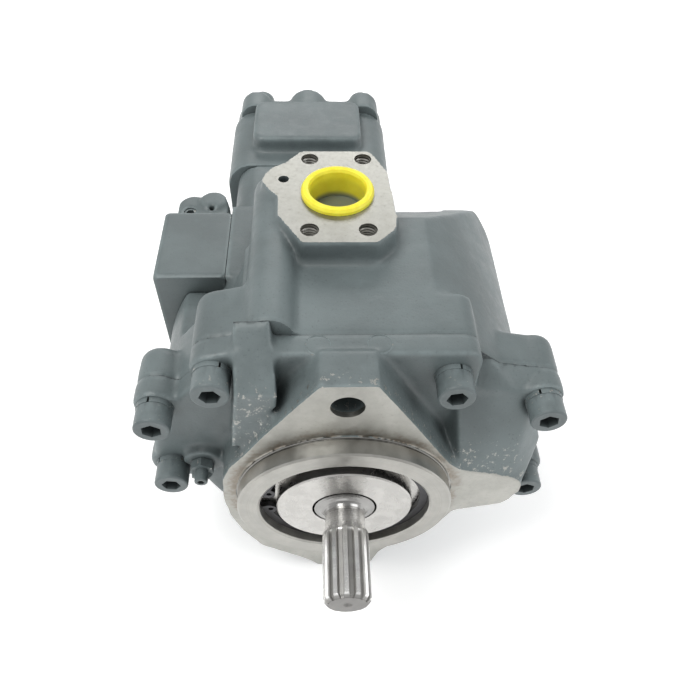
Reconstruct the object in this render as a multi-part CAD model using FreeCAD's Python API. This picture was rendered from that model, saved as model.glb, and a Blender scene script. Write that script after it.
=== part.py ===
import FreeCAD, Part
import os
import math

# Variable displacement axial piston pump with a gear pump on its rear end.
# Millimetres.  Origin: centre of the mounting face on the shaft axis.
# +Y runs along the shaft from the drive end to the rear, +X is to the right
# seen from the drive end, +Z is up (suction port side).

V = FreeCAD.Vector
os.makedirs("parts", exist_ok=True)

# ------------------------------------------------------------------ sizes
PILOT_R = 50.8            # pilot spigot, 101.6 mm across
PILOT_H = 9.0
FLANGE_BOLT_Z = 73.025    # two-bolt flange, 146.05 mm between the holes
FLANGE_HOLE_R = 7.15
FLANGE_T = 12.0           # flange thickness
COVER_STEP = 17.5         # seat plane of the cover screws
SEAM_Y = 28.0             # joint plane of front cover and main housing
GASKET = 0.4
BODY_R_UP = 92.0          # round casing, upper part
BODY_R_RIGHT = 94.4       # the right side stands out a little more
BODY_R_LOW = 80.0         # round casing, lower part
TOP_Z = 85.5              # flat on top of the casing
BASE_Z = -89.0            # delivery port face under the casing
DELIV_Y = 125.0           # delivery port centre
HOUSING_END = 150.0
CAVITY_R = 52.0           # rotating group chamber round the swash plate
CAVITY_R2 = 47.0          # round the cylinder block
CAVITY_STEP = 71.0
CAVITY_END = 114.2

SHAFT_END = -54.0
SPLINE_START = -22.0
SPLINE_TEETH = 13
SPLINE_R = 10.8
SPLINE_ROOT = 9.2
SEAL_R = 14.4             # seal journal

PIVOT_Y = 58.0            # swash axis, in the plane of the slipper balls
PISTONS = 9
PITCH_R = 34.0
PISTON_R = 8.47
BORE_R = 8.5
BALL_R = 5.5
SLIP_H = 8.0
SWASH_GAP = 0.3
CRADLE_R = 28.0
BLOCK_Y0 = 71.0
BLOCK_Y1 = 110.0
BLOCK_R = 44.5

ARM_X = -31.5             # control arm, piston and ridge over them
ARM_Z = 74.0
RIDGE_C = (-32.0, 84.0)   # ridge: round top and its radius
RIDGE_R = 11.0
RIDGE_END = 126.0

PORT_C = (-2.0, 105.0)    # suction port centre in X, Y
PORT_Z = 98.0
PORT_SX = 26.2
PORT_SY = 52.4
PORT_BORE_R = 15.0
M10_TAP_R = 4.25

# cover screws: x, z, lobe radius, rear end of the housing lobe
SCREWS = [
    (45.5, 70.5, 11.5, 52.0),
    (88.6, 52.3, 9.6, 50.0),
    (-55.6, 74.2, 10.0, 58.0),
    (-83.6, 49.4, 9.8, 46.5),
    (-83.4, 1.1, 11.5, 46.0),
    (92.2, -9.0, 10.6, 46.0),
]
# screws put in from the rear, low on the casing
REAR_SIDE = [(-44.0, -54.0), (44.0, -54.0)]
HEAD_R, HEAD_H, M10_R = 8.0, 10.0, 4.95

GEAR_CD = 33.6            # gear pump centre distance
GEAR_M, GEAR_Z = 2.1, 16
ADAPT_Y = (150.0, 200.0)
GBODY_Y = (200.0, 258.0)
GCOVER_Y = (258.0, 276.0)
GP_SCREWS = [(-49.0, 36.0), (19.0, 36.0), (-49.0, -36.0), (19.0, -36.0)]

REG_X = (-93.0, -57.8)    # regulator box
REG_Y = (88.0, 137.0)
REG_Z = (-50.0, 60.0)


# ---------------------------------------------------------------- helpers
def cyl(r, y0, y1, x=0.0, z=0.0):
    return Part.makeCylinder(r, y1 - y0, V(x, y0, z), V(0, 1, 0))


def cylx(r, x0, x1, y, z):
    return Part.makeCylinder(r, x1 - x0, V(x0, y, z), V(1, 0, 0))


def cylz(r, z0, z1, x, y):
    return Part.makeCylinder(r, z1 - z0, V(x, y, z0), V(0, 0, 1))


def box(x0, x1, y0, y1, z0, z1):
    return Part.makeBox(x1 - x0, y1 - y0, z1 - z0, V(x0, y0, z0))


def poly(points):
    return Part.Face(Part.makePolygon(points + [points[0]]))


def prism_y(pts, y0, y1):
    return poly([V(x, y0, z) for x, z in pts]).extrude(V(0, y1 - y0, 0))


def prism_x(pts, x0, x1):
    return poly([V(x0, y, z) for y, z in pts]).extrude(V(x1 - x0, 0, 0))


def prism_z(pts, z0, z1):
    return poly([V(x, y, z0) for x, y in pts]).extrude(V(0, 0, z1 - z0))


def loft_y(p0, y0, p1, y1):
    a = Part.makePolygon([V(x, y0, z) for x, z in p0 + [p0[0]]])
    b = Part.makePolygon([V(x, y1, z) for x, z in p1 + [p1[0]]])
    return Part.makeLoft([a, b], True, True)


def turn(profile, x=0.0, z=0.0):
    # profile: (radius, y) points, turned round the Y axis
    f = poly([V(r, y, 0) for r, y in profile])
    s = f.revolve(V(0, 0, 0), V(0, 1, 0), 360)
    s.translate(V(x, 0, z))
    return s


def ring(ro, ri, y0, y1, x=0.0, z=0.0):
    return cyl(ro, y0, y1, x, z).cut(cyl(ri, y0 - 1, y1 + 1, x, z))


def fuse(items):
    return items[0].multiFuse(items[1:]).removeSplitter() if len(items) > 1 else items[0]


def cut(a, items):
    return a.cut(items) if isinstance(items, list) else a.cut(items)


def soften(shape, radius, test):
    # rounds every edge that passes the test; edges that refuse stay sharp
    edges = [e for e in shape.Edges if test(e)]
    if not edges:
        return shape
    try:
        s = shape.makeFillet(radius, edges)
        if s.isValid() and s.Volume > 0.5 * shape.Volume:
            return s
    except Exception:
        pass
    for e in edges:
        try:
            s = shape.makeFillet(radius, [e])
            if s.isValid() and s.Volume > 0.5 * shape.Volume:
                return soften_rest(s, radius, test)
        except Exception:
            continue
    return shape


def soften_rest(shape, radius, test):
    return shape


def hexagon(af, y0, y1, x, z, turn_deg=0.0):
    r = af / 2.0 / math.cos(math.pi / 6)
    pts = []
    for k in range(6):
        a = math.radians(60 * k + turn_deg)
        pts.append((x + r * math.cos(a), z + r * math.sin(a)))
    return prism_y(pts, y0, y1)


def lobe(x, z, r, y0, y1, reach=46.0, soft=5.0):
    # screw boss: a round end with a web of the same width towards the axis
    d = math.hypot(x, z)
    ux, uz = -x / d, -z / d
    nx, nz = -uz, ux
    pts = [(x + nx * r, z + nz * r), (x - nx * r, z - nz * r),
           (x - nx * r + ux * reach, z - nz * r + uz * reach),
           (x + nx * r + ux * reach, z + nz * r + uz * reach)]
    s = fuse([cyl(r, y0, y1, x, z), prism_y(pts, y0, y1)])
    if soft:
        s = soften(s, soft, lambda e: abs(e.BoundBox.YMin - y1) < 1e-4 and abs(e.BoundBox.YMax - y1) < 1e-4)
    return s


def save(name, shape):
    if shape.ShapeType == "Compound" and len(shape.Solids) == 1:
        shape = shape.Solids[0]
    bad = "" if shape.isValid() else "  NOT VALID"
    print("%-28s %2d solids %10.0f mm3%s" % (name, len(shape.Solids), shape.Volume, bad))
    shape.exportStep("parts/%s.step" % name)


def spline_solid(teeth, root, tip, y0, y1, frac=0.52, phase=0.0):
    pts = []
    for k in range(teeth):
        a = 2 * math.pi * k / teeth + phase
        h = math.pi / teeth
        for t, r in ((-h * 0.92, root), (-h * (frac + 0.16), root), (-h * (frac - 0.14), tip),
                     (h * (frac - 0.14), tip), (h * (frac + 0.16), root)):
            pts.append((r * math.sin(a + t), r * math.cos(a + t)))
    return prism_y(pts, y0, y1)


def coil(r_mean, r_wire, y0, y1, turns, x=0.0, z=0.0):
    # helical spring standing along Y
    pitch = (y1 - y0 - 2 * r_wire) / turns
    h = Part.makeHelix(pitch, pitch * turns, r_mean)
    prof = Part.Wire([Part.makeCircle(r_wire, V(r_mean, 0, 0), V(0, 1, 0))])
    s = Part.Wire(h.Edges).makePipeShell([prof], True, True)
    s.rotate(V(0, 0, 0), V(1, 0, 0), -90)
    s.translate(V(x, y0 + r_wire, z))
    return s


def section_keep(shape):
    # flats of the casing: top, and the lower arc
    return shape


# ---------------------------------------------------- outline of the casing
def casing_disc(y0, y1):
    up = cut(cyl(BODY_R_UP, y0, y1), [box(-120, 120, y0 - 1, y1 + 1, -120, -12)])
    right = cut(cyl(BODY_R_RIGHT, y0, y1), [box(-120, 120, y0 - 1, y1 + 1, -120, -12), box(-120, 0, y0 - 1, y1 + 1, -120, 120)])
    low = cyl(BODY_R_LOW, y0, y1)
    s = fuse([up, right, low])
    return cut(s, [box(-120, 120, y0 - 1, y1 + 1, TOP_Z, 140),
                   box(-120, 120, y0 - 1, y1 + 1, -140, -82.0)])


def cavity(y0):
    return fuse([cyl(CAVITY_R, y0, CAVITY_STEP), cyl(CAVITY_R2, CAVITY_STEP - 1, CAVITY_END)])


ARM_SLOT = box(ARM_X - 8, ARM_X + 8, 27.0, 86.0, 8.0, 82.0)

# ------------------------------------------------------------- front cover
FLANGE = [(-11.3, 87.3), (11.9, 87.3), (21.1, 72.2), (31.1, 55.5), (41.5, 37.5),
          (47.5, 27.5), (55.0, 18.7), (68.7, 15.0), (79.1, 11.2), (84.3, 8.0), (86.2, 3.6),
          (86.4, -1.5), (84.6, -9.0), (79.3, -15.0), (67.3, -18.4), (56.5, -21.5),
          (52.5, -32.0), (43.4, -46.1), (28.6, -61.1), (21.5, -72.0), (17.0, -89.0),
          (-13.5, -89.0), (-18.0, -82.5), (-24.6, -76.2), (-43.9, -59.8), (-52.5, -40.0), (-57.2, -22.0),
          (-58.6, -4.0), (-57.0, 14.8), (-52.8, 26.0), (-46.0, 35.5), (-35.9, 51.8), (-23.3, 70.4)]
flange = prism_y(FLANGE, 0.0, COVER_STEP + 1.0)
plate = casing_disc(COVER_STEP, SEAM_Y)
# sloping ledge between the two upper right screws
plate = cut(plate, [loft_y([(57.0, 59.4), (88.0, 54.8), (88.0, 100.0), (57.0, 100.0)], COVER_STEP - 0.1,
                           [(57.0, 70.0), (88.0, 68.0), (88.0, 100.0), (57.0, 100.0)], SEAM_Y + 0.1)])
ledge = loft_y([(50.0, 40.0), (57.0, 59.4), (88.0, 54.8), (88.0, 38.0)], COVER_STEP,
               [(50.0, 40.0), (57.0, 68.0), (88.0, 61.9), (88.0, 38.0)], SEAM_Y)
# the lower half narrows towards the flange
cone = Part.makeCone(70.5, BODY_R_LOW, SEAM_Y - COVER_STEP, V(0, COVER_STEP, 0), V(0, 1, 0))
low_half = cut(plate, [box(-120, 120, 0, 60, -12.0, 140)]).common(cone)
plate = fuse([cut(plate, [box(-120, 120, 0, 60, -140, -12.0)]), low_half, ledge])
# filled corner between the upper left screw and the ridge
corner = prism_y([(-55.6, 84.2), (-43.0, 87.0), (-40.0, 60.0), (-60.0, 60.0)], COVER_STEP, SEAM_Y)
# flat-topped block over the upper right screw
BLOCK_A = [(38.0, 60.0), (38.0, 84.2), (39.0, 85.3), (51.0, 85.3), (55.2, 83.4), (57.0, 79.0), (57.0, 68.0), (52.0, 60.0)]
parts = [flange, plate, corner, prism_y(BLOCK_A, COVER_STEP, SEAM_Y), cyl(PILOT_R, -PILOT_H, 1.0)]
for x, z, r, e in SCREWS:
    parts.append(lobe(x, z, r, COVER_STEP, SEAM_Y, soft=0))
for x, z in REAR_SIDE:
    parts.append(lobe(x, z, 11.0, COVER_STEP + 1.5, SEAM_Y, soft=0))
# sloping gusset from the step down to the wide ear
g0 = [(54.0, 17.8), (68.7, 14.6), (79.1, 10.9), (85.4, 6.5), (85.0, -6.0), (50.0, -12.0)]
g1 = [(49.0, 58.0), (68.0, 56.5), (84.0, 55.0), (95.5, 20.0), (95.5, -10.0), (46.0, -12.0)]
parts.append(loft_y(g0, 0.2, g1, COVER_STEP + 0.5))
# wedge block in front of the ridge
w0 = [(-51.0, 35.0), (-46.2, 75.6), (-28.0, 74.0), (-29.0, 66.0), (-44.0, 37.5)]
w1 = [(-52.5, 29.0), (-46.2, 94.6), (-31.0, 95.0), (-29.5, 80.0), (-30.0, 40.0)]
parts.append(loft_y(w0, 5.0, w1, SEAM_Y))
# swash cradle seats
for s in (-1, 1):
    x0, x1 = sorted((s * 25.0, s * 44.0))
    parts.append(box(x0, x1, SEAM_Y - 2, 32.8, -20.0, 20.0))
# bosses of the stop screw
parts.append(cyl(9.5, 13.0, COVER_STEP + 1, -68.0, 8.0))
front = fuse(parts)
cuts = [cyl(40.4, -PILOT_H - 1, 3.0), cyl(40.0, 2.0, 24.0), cyl(26.0, 23.0, 40.0),
        cyl(42.6, -4.2, -1.6),
        cyl(FLANGE_HOLE_R, -1, 22.0, 0, FLANGE_BOLT_Z), cyl(FLANGE_HOLE_R, -1, 22.0, 0, -FLANGE_BOLT_Z),
        cylx(CRADLE_R + 2.5, 24.8, 44.2, PIVOT_Y, 0), cylx(CRADLE_R + 2.5, -44.2, -24.8, PIVOT_Y, 0),
        cyl(8.0, 20.0, 40.0, ARM_X, ARM_Z),
        cyl(3.15, 10.0, 40.0, -68.0, 8.0)]
for x, z, r, e in SCREWS:
    cuts.append(cyl(5.5, COVER_STEP - 20, SEAM_Y + 5, x, z))
    cuts.append(cyl(8.35 if x > 90 else 9.3, -5, COVER_STEP, x, z))
for x, z in REAR_SIDE:
    cuts.append(cyl(5.0, 21.5, SEAM_Y + 5, x, z))
front = cut(front, cuts)
front = cut(front, [ring(60.0, PILOT_R - 0.6, -0.01 - 1.2, -0.01)])
save("front_cover", front)

# ------------------------------------------------------------ main housing
Y0 = SEAM_Y + GASKET
r0, r1 = BODY_R_UP, BODY_R_UP - 22.0


def rounded_body(R, y0, y1, rr):
    a = [V(0, y0, 0), V(R, y0, 0), V(R, y1 - rr, 0)]
    mid = V(R - rr + rr * math.cos(math.pi / 4), y1 - rr + rr * math.sin(math.pi / 4), 0)
    arc = Part.Arc(a[2], mid, V(R - rr, y1, 0)).toShape()
    w = Part.Wire([Part.makeLine(a[0], a[1]), Part.makeLine(a[1], a[2]), arc,
                   Part.makeLine(V(R - rr, y1, 0), V(0, y1, 0)), Part.makeLine(V(0, y1, 0), a[0])])
    return Part.Face(w).revolve(V(0, 0, 0), V(0, 1, 0), 360)


up = cut(rounded_body(BODY_R_RIGHT, Y0, HOUSING_END, 9.0), [box(-120, 120, 0, 200, -120, -12)])
left = cut(rounded_body(BODY_R_UP, Y0, HOUSING_END, 24.0), [box(-120, 120, 0, 200, -120, -12), box(0, 120, 0, 200, -120, 120)])
up = fuse([cut(up, [box(-120, 0, 0, 200, -120, 120)]), left])
low = rounded_body(BODY_R_LOW, Y0, HOUSING_END, 18.0)
body = fuse([up, low])
body = cut(body, [
    box(-140, 140, 0, 220, TOP_Z, 140),
    box(-140, 140, 0, 220, -140, -82.0),
    # the left shoulder drops behind the screw bosses
    prism_y([(-140, 50), (-62, 50), (-52, 60), (-46, 74), (-46, 140), (-140, 140)], 58.0, REG_Y[0] + 0.01),
    # seat of the regulator box
    box(-140, REG_X[1] + 0.3, REG_Y[0], 220, -120, 140),
    box(-140, -42, REG_Y[0], 220, REG_Z[1], 140),
    # the roof falls away behind the suction port
    prism_x([(121, TOP_Z + 0.1), (121, 140), (220, 140), (220, 0), (151, 49.5)], -140, 140),
    prism_x([(102, TOP_Z + 0.1), (102, 140), (220, 140), (220, 0), (151, 48.0)], 24.0, 50.0),
    prism_x([(103, TOP_Z + 0.1), (103, 140), (220, 140), (220, 0), (151, 48.8)], 49.9, 60.0),
    prism_x([(104.2, TOP_Z + 0.1), (104.2, 140), (220, 140), (220, 0), (151, 49.8)], 59.9, 140),
])
seat = box(REG_X[1] + 0.3, -28, REG_Y[0], REG_Y[1], REG_Z[0], REG_Z[1])
ridge = cyl(RIDGE_R, Y0, RIDGE_END, RIDGE_C[0], RIDGE_C[1])
ridge = soften(ridge, 5.0, lambda e: abs(e.BoundBox.YMin - RIDGE_END) < 1e-4)
ridge_web = prism_y([(RIDGE_C[0] - RIDGE_R, RIDGE_C[1]), (RIDGE_C[0] - RIDGE_R, 56.0), (-28.0, 50.0),
                     (RIDGE_C[0] + RIDGE_R, 60.0), (RIDGE_C[0] + RIDGE_R, RIDGE_C[1])], Y0, RIDGE_END)
ridge_web = soften(ridge_web, 3.0, lambda e: abs(e.BoundBox.YMin - RIDGE_END) < 1e-4 and abs(e.BoundBox.YMax - RIDGE_END) < 1e-4)
PORT = [(-19.0, 70.0), (15.8, 70.0), (24.2, 79.5), (25.4, 87.0), (24.4, 103.0), (23.0, 121.5),
        (15.4, 138.0), (-20.0, 138.0), (-27.5, 128.5), (-33.5, 125.0), (-37.6, 118.5), (-38.4, 113.5),
        (-35.5, 108.0), (-30.6, 102.5), (-30.0, 88.5)]
boss = prism_z(PORT, 60.0, PORT_Z)
boss = soften(boss, 2.5, lambda e: e.BoundBox.ZLength > 30)
LOW = [(-18.0, 72.0), (15.0, 72.0), (22.5, 80.5), (23.0, 88), (22.4, 103), (21.0, 121), (15, 132), (-19, 132), (-29, 118), (-29, 90)]
pad = box(-34, 34, 46.0, 142.0, BASE_Z, -70.0)
pad = soften(pad, 6.0, lambda e: e.BoundBox.ZLength > 10)
# filled corners beside the upper screws
corner_l = prism_y([(-55.6, 84.2), (-43.0, 87.0), (-40.0, 60.0), (-60.0, 60.0)], Y0, 57.0)
corner_l = soften(corner_l, 3.0, lambda e: abs(e.BoundBox.YMin - 57.0) < 1e-4 and abs(e.BoundBox.YMax - 57.0) < 1e-4)
corner_r = loft_y([(50.0, 40.0), (57.0, 68.0), (88.0, 61.9), (88.0, 38.0)], Y0, [(50.0, 40.0), (57.0, 66.0), (86.0, 60.4), (86.0, 38.0)], 50.0)
corner_r = soften(corner_r, 3.0, lambda e: abs(e.BoundBox.YMin - 50.0) < 1e-4 and abs(e.BoundBox.YMax - 50.0) < 1e-4)
block_a = prism_y(BLOCK_A, Y0, 52.0)
block_a = soften(block_a, 3.0, lambda e: abs(e.BoundBox.YMin - 52.0) < 1e-4 and abs(e.BoundBox.YMax - 52.0) < 1e-4)
items = [body, seat, ridge, ridge_web, boss, pad, corner_l, corner_r, block_a]
for x, z, r, e in SCREWS:
    items.append(lobe(x, z, r, Y0, e))
for x, z in REAR_SIDE:
    items.append(lobe(x, z, 11.0, Y0, 49.5, soft=2.0))
house = fuse(items)
kid = []


def kidney(a0, a1, y0, y1, ri=30.0, ro=38.0):
    n = 10
    pts = []
    for k in range(n + 1):
        a = math.radians(a0 + (a1 - a0) * k / n)
        pts.append((70 * math.cos(a), 70 * math.sin(a)))
    pts.append((0, 0))
    s = prism_y(pts, y0, y1).common(ring(ro, ri, y0, y1))
    rm, rr = (ri + ro) / 2, (ro - ri) / 2
    e = [cyl(rr, y0, y1, rm * math.cos(math.radians(a)), rm * math.sin(math.radians(a))) for a in (a0, a1)]
    return fuse([s] + e)


slant = Part.makeCylinder(9.0, 36.0, V(PORT_C[0], 106.0, 68.0), V(0, 0.78, -0.6257))
cuts = [cavity(Y0 - 1), ARM_SLOT, cyl(7.55, 80.0, 119.0, ARM_X, ARM_Z), cyl(3.3, Y0 - 1, 32.0, -68.0, 8.0),
        cyl(19.0, CAVITY_END - 1, 138.0), cyl(14.0, 137.0, HOUSING_END + 1),
        cylz(PORT_BORE_R, 62.0, PORT_Z + 1, PORT_C[0], PORT_C[1]), slant,
        cylz(8.0, 30.0, 56.0, PORT_C[0], 127.0),
        kidney(35, 145, CAVITY_END - 1, 124.0), kidney(215, 325, CAVITY_END - 1, 124.0),
        cylz(9.5, BASE_Z - 1, -34.0, 0, DELIV_Y)]
for sx in (-1, 1):
    for sy in (-1, 1):
        cuts.append(cylz(M10_TAP_R, PORT_Z - 20, PORT_Z + 1, PORT_C[0] + sx * PORT_SX / 2, PORT_C[1] + sy * PORT_SY / 2))
        cuts.append(cylz(M10_TAP_R, BASE_Z - 1, BASE_Z + 18, sx * 23.8, DELIV_Y + sy * 11.1))
cuts.append(cylz(2.6, PORT_Z - 12, PORT_Z + 1, -27.6, 115.2))
for x, z, r, e in SCREWS:
    cuts.append(cyl(5.0, Y0 - 1, 42.5, x, z))
for x, z in REAR_SIDE:
    cuts.append(cyl(5.5, Y0 - 1, 60, x, z))
    cuts.append(cyl(9.3, 49.5, 80, x, z))
for x, z in GP_SCREWS:
    cuts.append(cyl(5.0, 136.0, HOUSING_END + 1, x, z))
for y in (98.5, 127.5):
    for z in (-40.0, 50.0):
        cuts.append(cylx(4.0, REG_X[1], REG_X[1] + 12, y, z))
# screws of the regulator box stop short of the chamber
house = cut(house, cuts)
save("main_housing", house)

# gasket in the joint
gk = [casing_disc(SEAM_Y, Y0), prism_y([(-46.0, 70.0), (-46.0, 94.2), (-31.2, 94.4), (-30.0, 70.0)], SEAM_Y, Y0),
      prism_y([(50.0, 40.0), (57.0, 67.6), (88.0, 61.6), (88.0, 38.0)], SEAM_Y, Y0), prism_y(BLOCK_A, SEAM_Y, Y0)]
for x, z, r, e in SCREWS:
    gk.append(lobe(x, z, r - 0.2, SEAM_Y, Y0, soft=0))
for x, z in REAR_SIDE:
    gk.append(lobe(x, z, 10.8, SEAM_Y, Y0, soft=0))
gk = fuse(gk)
gc = [cyl(CAVITY_R, 20, 40), box(ARM_X - 8, ARM_X + 8, 20, 40, 38.0, 82.0), cyl(4.5, 20, 40, -68.0, 8.0)]
for x, z in [(s[0], s[1]) for s in SCREWS] + REAR_SIDE:
    gc.append(cyl(5.5, 20, 40, x, z))
save("joint_gasket", cut(gk, gc))

# ------------------------------------------------------ cover screws
def cap_screw(x, z, y_seat, sign, length, r=M10_R, hr=HEAD_R, hh=HEAD_H, af=8.0, turn_deg=0.0):
    # head on the -Y side when sign is -1; y_seat is the underside of the head
    if sign < 0:
        head = cyl(hr, y_seat - hh, y_seat, x, z)
        shank = cyl(r, y_seat - 0.5, y_seat + length, x, z)
        sock = hexagon(af, y_seat - hh - 1, y_seat - hh + hh * 0.55, x, z, turn_deg)
        rim = y_seat - hh
    else:
        head = cyl(hr, y_seat, y_seat + hh, x, z)
        shank = cyl(r, y_seat - length, y_seat + 0.5, x, z)
        sock = hexagon(af, y_seat + hh * 0.45, y_seat + hh + 1, x, z, turn_deg)
        rim = y_seat + hh
    head = soften(head, 1.0, lambda e: abs(e.BoundBox.YMin - rim) < 1e-4 and abs(e.BoundBox.YMax - rim) < 1e-4)
    return cut(fuse([head, shank]), [sock])


def split_washer(x, z, y0, y1, deg):
    w = ring(8.2, 5.2, y0, y1, x, z)
    slot = box(4.0, 9.5, y0 - 1, y1 + 1, -0.5, 0.5)
    slot.rotate(V(0, 0, 0), V(0, 1, 0), deg)
    slot.translate(V(x, 0, z))
    return cut(w, [slot])


SEAT = COVER_STEP - 2.5
angs = [12, 40, 5, 25, 50, 33, 18, 44]
scr, was = [], []
for i, (x, z, r, e) in enumerate(SCREWS):
    scr.append(cap_screw(x, z, SEAT, -1, 26.0, turn_deg=angs[i]))
    was.append(split_washer(x, z, SEAT + 0.02, COVER_STEP - 0.02, [-75, -115, -60, -100, -140, -20][i]))
for i, (x, z) in enumerate(REAR_SIDE):
    scr.append(cap_screw(x, z, 52.0, 1, 29.5, turn_deg=angs[6 + i]))
    was.append(split_washer(x, z, 49.52, 51.98, 60 + 40 * i))
save("cover_screws", Part.makeCompound(scr))
save("screw_lock_washers", Part.makeCompound(was))

# stop screw that limits the stroke, and its lock nut
stop = cut(soften(cyl(3.1, 2.5, 30.0, -68.0, 8.0), 0.5, lambda e: abs(e.BoundBox.YMax - 2.5) < 1e-4), [hexagon(3.0, 1.0, 6.0, -68.0, 8.0)])
save("stop_screw", stop)
nut = hexagon(10.0, 6.6, 12.9, -68.0, 8.0, 30)
nut = nut.common(Part.makeCone(4.9, 7.0, 2.1, V(-69.5, 6.6, 2.0), V(0, 1, 0)).fuse(cyl(7.0, 8.6, 13.5, -68.0, 8.0)))
save("stop_screw_nut", cut(nut, [cyl(3.15, 0, 20, -68.0, 8.0)]))

# ------------------------------------------------------- shaft and seal
prof = [(0, SHAFT_END), (7.6, SHAFT_END), (SPLINE_ROOT, SHAFT_END + 1.6), (SPLINE_ROOT, SPLINE_START - 0.5), (9.35, SPLINE_START)]
prof += [(9.35, -12.6)]
for k in range(1, 7):
    a = math.radians(90 * k / 6.0)
    prof.append((9.35 + 4.3 * (1 - math.cos(a)), -12.6 + 4.3 * math.sin(a)))
prof += [(SEAL_R, -8.3), (SEAL_R, 2.9), (17.48, 2.9), (17.48, 24.2), (19.5, 24.2), (19.5, 27.2), (16.0, 27.2),
         (16.0, 50.0), (15.0, 50.0), (15.0, BLOCK_Y0 + 1), (14.1, BLOCK_Y0 + 1), (14.1, 104.0), (12.0, 104.0), (12.0, 116.0),
         (11.0, 116.0), (11.0, 138.5), (8.0, 138.5), (8.0, 156.0), (0, 156.0)]
shaft = turn(prof)
teeth = spline_solid(SPLINE_TEETH, SPLINE_ROOT - 0.6, SPLINE_R, SHAFT_END, SPLINE_START + 4.0, phase=math.radians(-3.0))
env = turn([(0, SHAFT_END - 1), (8.8, SHAFT_END - 1), (8.8, SHAFT_END), (SPLINE_R + 0.1, SHAFT_END + 2.2), (SPLINE_R + 0.1, SPLINE_START),
            (9.0, SPLINE_START + 3.6), (0, SPLINE_START + 3.6)])
teeth = teeth.common(env)
block_teeth = spline_solid(20, 14.0, 15.0, BLOCK_Y0 + 1, 104.0, 0.5)
shaft = fuse([shaft, teeth, block_teeth])
shaft = cut(shaft, [Part.makeCone(2.2, 0.4, 3.2, V(0, SHAFT_END - 0.01, 0), V(0, 1, 0)), cyl(1.0, SHAFT_END - 0.01, SHAFT_END + 5.5)])
save("drive_shaft", shaft)

seal_cover = turn([(15.4, -8.2), (31.7, -8.2), (32.3, -7.6), (32.3, -1.3), (40.2, -1.3), (40.2, 2.8), (22.0, 2.8), (22.0, -5.4), (15.4, -5.4)])
save("seal_cover", seal_cover)
seal = turn([(21.95, -5.3), (21.95, 2.4), (19.8, 2.4), (19.8, -3.4), (17.6, -3.4), (15.6, 1.6), (14.46, 0.6), (14.46, -0.4), (16.2, -5.3)])
save("shaft_seal", seal)
cr = ring(42.4, 36.4, -4.1, -1.7)
gap = prism_y([(0, 0), (-60, 7.5), (-60, -7.5)], -6, 0)
lugs = [cyl(3.7, -4.1, -1.7, 37.2 * math.cos(math.radians(180 + s * 12)), 37.2 * math.sin(math.radians(180 + s * 12))) for s in (-1, 1)]
cr = fuse([cut(cr, [gap])] + [l.common(cyl(40.3, -6, 0)) for l in lugs])
cr = cut(cr, [cyl(1.25, -6, 0, 36.4 * math.cos(math.radians(180 + s * 12)), 36.4 * math.sin(math.radians(180 + s * 12))) for s in (-1, 1)])
save("retaining_ring", cr)

# --------------------------------------------------------- bearings
def torus(R, r, y, x=0.0, z=0.0):
    return Part.makeTorus(R, r, V(x, y, z), V(0, 1, 0))


BALLS, BRR = 9, 6.6
PC = 28.75
outer = cut(ring(39.92, 32.4, 3.05, 23.95), [torus(PC, BRR + 0.06, 13.5)])
inner = cut(ring(25.2, 17.5, 3.05, 24.1), [torus(PC, BRR + 0.06, 13.5)])
save("front_bearing_outer_race", outer)
save("front_bearing_inner_race", inner)
balls = []
for k in range(BALLS):
    a = 2 * math.pi * k / BALLS
    balls.append(Part.makeSphere(BRR, V(PC * math.cos(a), 13.5, PC * math.sin(a))))
cage = ring(30.0, 27.6, 5.4, 21.6)
pock = []
for k in range(BALLS):
    a = 2 * math.pi * k / BALLS
    pock.append(Part.makeCylinder(BRR + 0.15, 16.0, V(20.0 * math.cos(a), 13.5, 20.0 * math.sin(a)), V(math.cos(a), 0, math.sin(a))))
cage = cut(cage, pock)
save("front_bearing_balls", Part.makeCompound(balls))
save("front_bearing_cage", cage)
save("rear_bearing_cup", ring(18.98, 16.25, 117.0, 137.8))
rol = [cyl(2.5, 118.5, 136.5, 13.6 * math.cos(2 * math.pi * k / 14), 13.6 * math.sin(2 * math.pi * k / 14)) for k in range(14)]
save("rear_bearing_rollers", Part.makeCompound(rol))

# --------------------------------------------------------- rotating group
blk = soften(cyl(BLOCK_R, BLOCK_Y0, BLOCK_Y1), 1.0, lambda e: e.BoundBox.YLength < 1e-4)
bore_spline = spline_solid(20, 14.12, 15.12, BLOCK_Y0 - 1, 104.2, 0.56)
cuts = [bore_spline, cyl(15.3, BLOCK_Y0 - 1, BLOCK_Y0 + 1.2), cyl(20.2, 84.0, 103.0).cut(cyl(17.0, 80.0, 110.0)),
        cyl(12.5, 104.0, BLOCK_Y1 + 1)]
PH = [math.radians(90 + 40 * k) for k in range(PISTONS)]
for a in PH:
    cx, cz = PITCH_R * math.cos(a), PITCH_R * math.sin(a)
    cuts += [cyl(BORE_R, BLOCK_Y0 - 1, 105.0, cx, cz), cyl(4.0, 104.0, BLOCK_Y1 + 1, cx, cz)]
save("cylinder_block", cut(blk, cuts))
save("block_spring", coil(18.6, 1.1, 84.4, 102.6, 4))

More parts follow.
